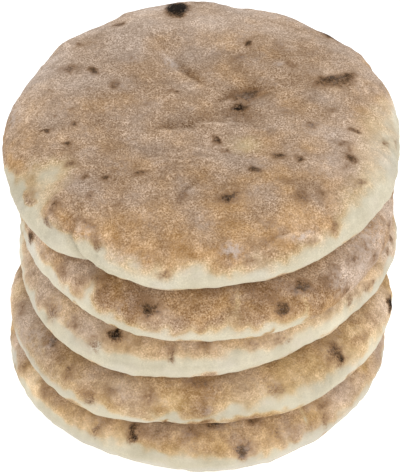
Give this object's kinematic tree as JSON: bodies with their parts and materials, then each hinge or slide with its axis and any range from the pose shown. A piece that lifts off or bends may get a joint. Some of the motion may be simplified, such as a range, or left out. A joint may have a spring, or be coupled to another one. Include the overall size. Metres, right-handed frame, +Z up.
{
  "type": "stack of pita breads",
  "caption": "Stack of thick round pita breads with browned, floury tops, a few char spots and pale rounded rims.",
  "frame": {"origin": "centre of the stack's underside: the middle, in plan, of the box around all the breads, at the level the stack stands on", "axes": "+Z up through the stack; the side that shows best faces -Y; +X is to the right of that side"},
  "size_m": [0.1502, 0.1538, 0.1259],
  "materials": {
    "top_crust": "dull baked crust dusted with flour, cream at the rim",
    "second_crust": "dull baked crust dusted with flour, cream at the rim",
    "third_crust": "dull baked crust, wide cream side",
    "fourth_crust": "dull baked crust, cream at the rim",
    "bottom_crust": "dull baked crust, cream at the rim"
  },
  "bodies": {
    "root": {"top_pita": "top_crust", "second_pita": "second_crust", "third_pita": "third_crust", "fourth_pita": "fourth_crust", "bottom_pita": "bottom_crust"}
  },
  "joints": []
}
